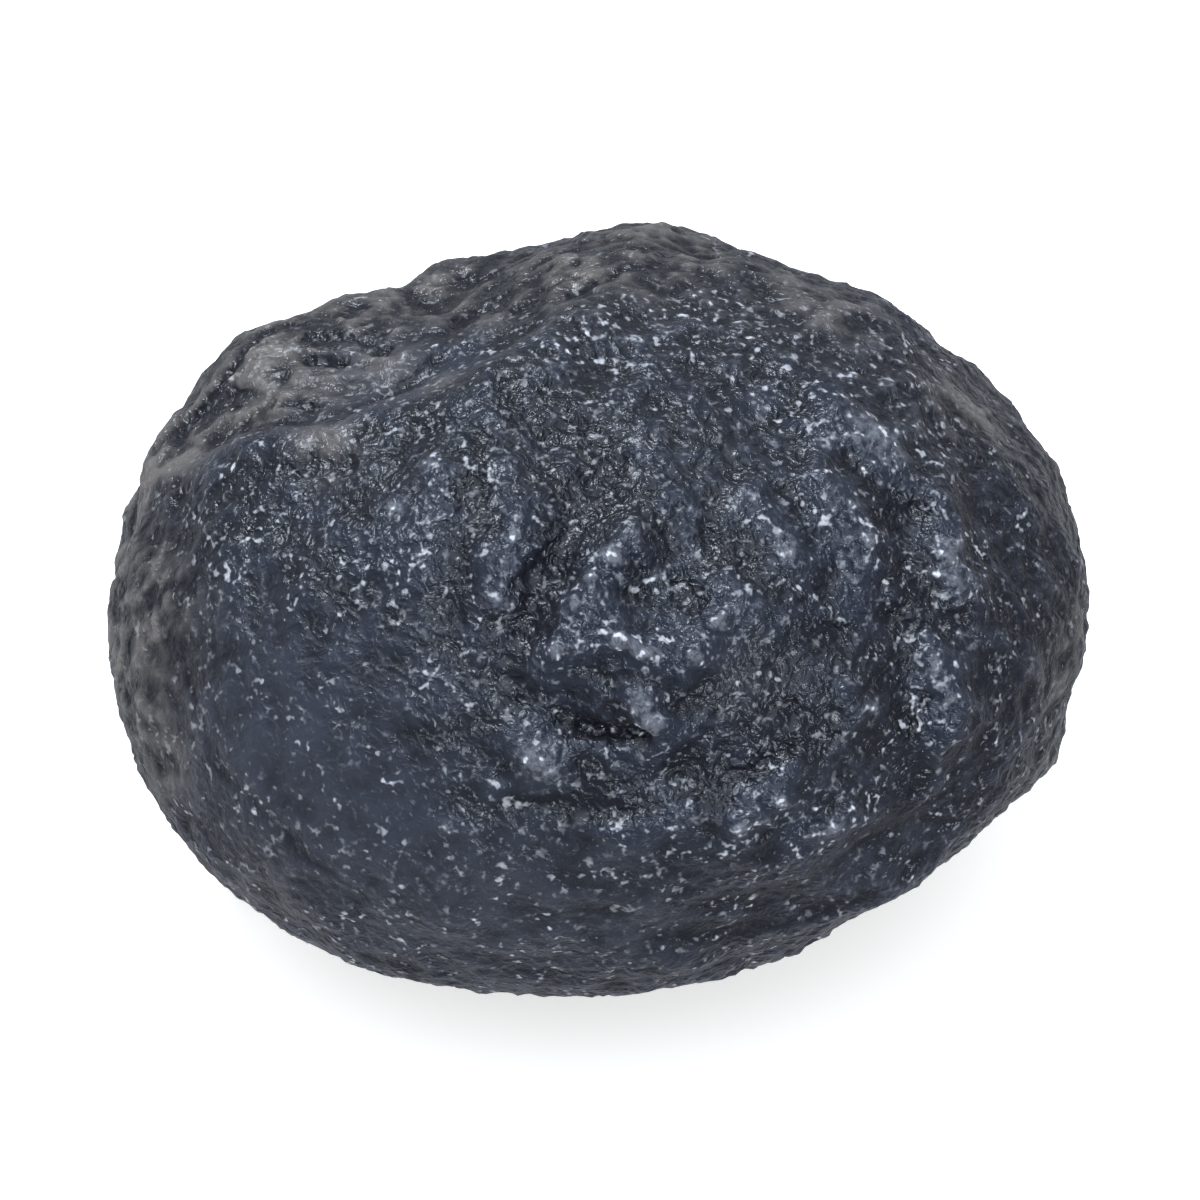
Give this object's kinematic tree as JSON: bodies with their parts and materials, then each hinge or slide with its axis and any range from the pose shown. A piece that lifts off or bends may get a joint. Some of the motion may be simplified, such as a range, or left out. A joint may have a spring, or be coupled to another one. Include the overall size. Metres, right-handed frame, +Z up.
{
  "type": "tektite",
  "caption": "Oval tektite pebble of black natural glass with a pitted, wrinkled frosted skin, a crescent fold across one end and a small flat spot that it rests on.",
  "frame": {"origin": "middle of the underside of the stone's bounding box, on the surface that it rests on", "axes": "+X along the stone's longest way, +Z up, with the better face looking up and towards -Y"},
  "size_m": [0.0298, 0.0244, 0.02],
  "materials": {
    "tektite_glass": "satin"
  },
  "bodies": {
    "root": {"tektite": "tektite_glass"}
  },
  "joints": []
}
